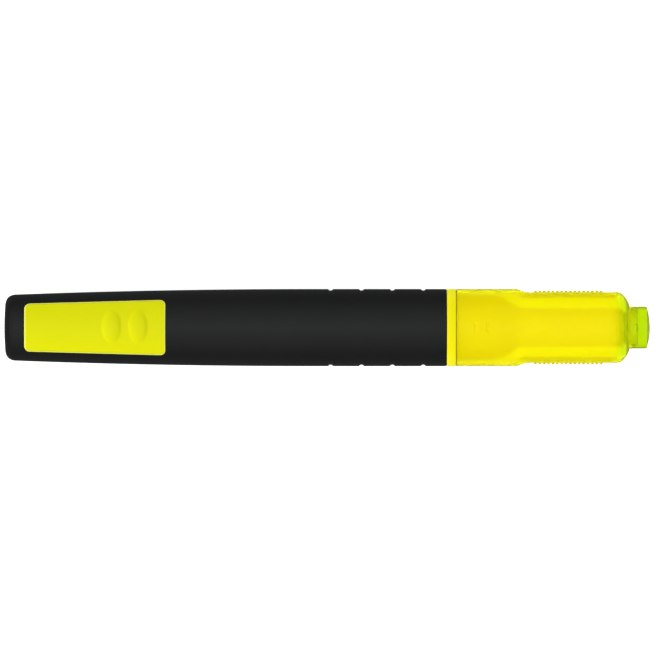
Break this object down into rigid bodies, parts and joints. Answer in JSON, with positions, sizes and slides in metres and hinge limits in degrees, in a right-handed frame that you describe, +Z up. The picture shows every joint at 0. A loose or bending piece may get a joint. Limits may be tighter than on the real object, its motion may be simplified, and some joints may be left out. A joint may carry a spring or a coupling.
{
  "type": "highlighter",
  "caption": "Highlighter pen with a tapered black soft-touch barrel, a yellow tail panel, a chisel nib and a clear yellow pull-off cap.",
  "frame": {"origin": "under the middle of the pen's length, on the surface it lies on", "axes": "+X along the pen from the tail to the cap, +Z up with the panel facing up"},
  "size_m": [0.14, 0.0168, 0.0168],
  "materials": {
    "core_black": "moulded, hidden inside",
    "soft_black": "satin soft-touch",
    "panel_yellow": "semi-gloss moulded",
    "section_yellow": "semi-gloss opaque",
    "clear_yellow": "polished fluorescent translucent",
    "liner_yellow": "frosted translucent",
    "ink_fibre": "bonded fibre soaked with ink",
    "nib_fibre": "bonded fibre",
    "clear_film": "thin clear film"
  },
  "bodies": {
    "barrel": {"barrel_core": "core_black", "grip_sleeve": "soft_black", "panel_inlay": "panel_yellow", "reservoir_core": "ink_fibre", "reservoir_wrap": "clear_film", "front_section": "section_yellow", "nib": "nib_fibre"},
    "cap": {"cap_shell": "clear_yellow", "cap_liner": "liner_yellow", "cap_end_button": "clear_yellow"}
  },
  "joints": [
    {"name": "cap_pull", "type": "slide", "parent": "barrel", "child": "cap", "axis": [1, 0, 0], "range_m": [0, 0.05]}
  ]
}
